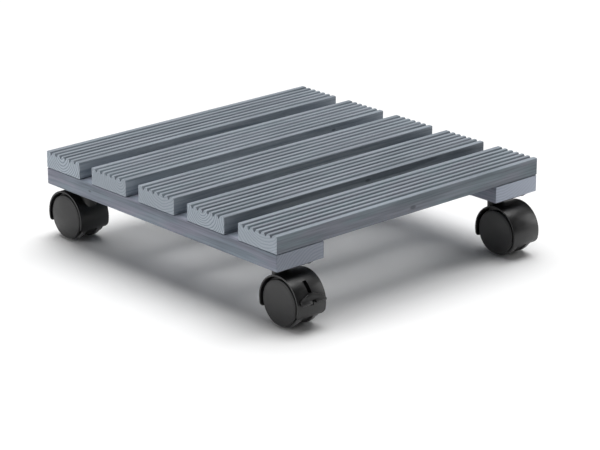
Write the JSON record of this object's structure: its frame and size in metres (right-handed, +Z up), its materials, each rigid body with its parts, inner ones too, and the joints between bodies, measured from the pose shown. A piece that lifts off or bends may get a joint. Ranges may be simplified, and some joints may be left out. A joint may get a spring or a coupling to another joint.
{
  "type": "plant pot caddy",
  "caption": "Low square wooden plant caddy with grooved slats on two battens, rolling on hooded twin-wheel swivel castors with pedal brakes.",
  "frame": {"origin": "on the floor, under the centre of the deck", "axes": "+Z up, X along the slats, Y across the slats"},
  "size_m": [0.29, 0.3226, 0.0795],
  "materials": {
    "slat_wood": "grey-blue stained, grooved, matt",
    "batten_wood": "grey-blue stained, matt",
    "hood_nylon": "black moulded nylon, satin",
    "wheel_nylon": "black moulded nylon, satin",
    "plate_steel": "zinc plated",
    "zinc_screw": "zinc plated"
  },
  "bodies": {
    "deck": {"slat_1": "slat_wood", "slat_2": "slat_wood", "slat_3": "slat_wood", "slat_4": "slat_wood", "slat_5": "slat_wood", "batten_left": "batten_wood", "batten_right": "batten_wood", "left_slat_screw_1": "zinc_screw", "left_slat_screw_2": "zinc_screw", "left_slat_screw_3": "zinc_screw", "left_slat_screw_4": "zinc_screw", "left_slat_screw_5": "zinc_screw", "right_slat_screw_1": "zinc_screw", "right_slat_screw_2": "zinc_screw", "right_slat_screw_3": "zinc_screw", "right_slat_screw_4": "zinc_screw", "right_slat_screw_5": "zinc_screw", "front_castor_plate": "plate_steel", "front_kingpin": "plate_steel", "front_plate_screw_1": "zinc_screw", "front_plate_screw_2": "zinc_screw", "front_plate_screw_3": "zinc_screw", "front_plate_screw_4": "zinc_screw", "left_castor_plate": "plate_steel", "left_kingpin": "plate_steel", "left_plate_screw_1": "zinc_screw", "left_plate_screw_2": "zinc_screw", "left_plate_screw_3": "zinc_screw", "left_plate_screw_4": "zinc_screw", "right_castor_plate": "plate_steel", "right_kingpin": "plate_steel", "right_plate_screw_1": "zinc_screw", "right_plate_screw_2": "zinc_screw", "right_plate_screw_3": "zinc_screw", "right_plate_screw_4": "zinc_screw", "back_castor_plate": "plate_steel", "back_kingpin": "plate_steel", "back_plate_screw_1": "zinc_screw", "back_plate_screw_2": "zinc_screw", "back_plate_screw_3": "zinc_screw", "back_plate_screw_4": "zinc_screw"},
    "front_castor": {"front_hood": "hood_nylon", "front_axle": "plate_steel"},
    "front_outer_wheel_body": {"front_outer_wheel": "wheel_nylon"},
    "front_inner_wheel_body": {"front_inner_wheel": "wheel_nylon"},
    "front_brake": {"front_brake_lever": "hood_nylon"},
    "left_castor": {"left_hood": "hood_nylon", "left_axle": "plate_steel"},
    "left_outer_wheel_body": {"left_outer_wheel": "wheel_nylon"},
    "left_inner_wheel_body": {"left_inner_wheel": "wheel_nylon"},
    "right_castor": {"right_hood": "hood_nylon", "right_axle": "plate_steel"},
    "right_outer_wheel_body": {"right_outer_wheel": "wheel_nylon"},
    "right_inner_wheel_body": {"right_inner_wheel": "wheel_nylon"},
    "back_castor": {"back_hood": "hood_nylon", "back_axle": "plate_steel"},
    "back_outer_wheel_body": {"back_outer_wheel": "wheel_nylon"},
    "back_inner_wheel_body": {"back_inner_wheel": "wheel_nylon"},
    "back_brake": {"back_brake_lever": "hood_nylon"}
  },
  "joints": [
    {"name": "front_swivel", "type": "hinge", "parent": "deck", "child": "front_castor", "pos_m": [-0.1205, -0.122, 0.0505], "axis": [0, 0, 1], "continuous": true},
    {"name": "front_outer_wheel_spin", "type": "hinge", "parent": "front_castor", "child": "front_outer_wheel_body", "pos_m": [-0.1309, -0.1355, 0.0205], "axis": [1, 0, 0], "continuous": true},
    {"name": "front_inner_wheel_spin", "type": "hinge", "parent": "front_castor", "child": "front_inner_wheel_body", "pos_m": [-0.1101, -0.1355, 0.0205], "axis": [1, 0, 0], "continuous": true},
    {"name": "front_brake_pedal", "type": "hinge", "parent": "front_castor", "child": "front_brake", "pos_m": [-0.1205, -0.14259, 0.02604], "axis": [-1, 0, 0], "range_deg": [0, 35]},
    {"name": "left_swivel", "type": "hinge", "parent": "deck", "child": "left_castor", "pos_m": [-0.1205, 0.122, 0.0505], "axis": [0, 0, 1], "continuous": true},
    {"name": "left_outer_wheel_spin", "type": "hinge", "parent": "left_castor", "child": "left_outer_wheel_body", "pos_m": [-0.1309, 0.1355, 0.0205], "axis": [1, 0, 0], "continuous": true},
    {"name": "left_inner_wheel_spin", "type": "hinge", "parent": "left_castor", "child": "left_inner_wheel_body", "pos_m": [-0.1101, 0.1355, 0.0205], "axis": [1, 0, 0], "continuous": true},
    {"name": "right_swivel", "type": "hinge", "parent": "deck", "child": "right_castor", "pos_m": [0.1205, -0.122, 0.0505], "axis": [0, 0, 1], "continuous": true},
    {"name": "right_outer_wheel_spin", "type": "hinge", "parent": "right_castor", "child": "right_outer_wheel_body", "pos_m": [0.1309, -0.1355, 0.0205], "axis": [1, 0, 0], "continuous": true},
    {"name": "right_inner_wheel_spin", "type": "hinge", "parent": "right_castor", "child": "right_inner_wheel_body", "pos_m": [0.1101, -0.1355, 0.0205], "axis": [1, 0, 0], "continuous": true},
    {"name": "back_swivel", "type": "hinge", "parent": "deck", "child": "back_castor", "pos_m": [0.1205, 0.122, 0.0505], "axis": [0, 0, 1], "continuous": true},
    {"name": "back_outer_wheel_spin", "type": "hinge", "parent": "back_castor", "child": "back_outer_wheel_body", "pos_m": [0.1309, 0.1355, 0.0205], "axis": [1, 0, 0], "continuous": true},
    {"name": "back_inner_wheel_spin", "type": "hinge", "parent": "back_castor", "child": "back_inner_wheel_body", "pos_m": [0.1101, 0.1355, 0.0205], "axis": [1, 0, 0], "continuous": true},
    {"name": "back_brake_pedal", "type": "hinge", "parent": "back_castor", "child": "back_brake", "pos_m": [0.1205, 0.14259, 0.02604], "axis": [1, 0, 0], "range_deg": [0, 35]}
  ]
}
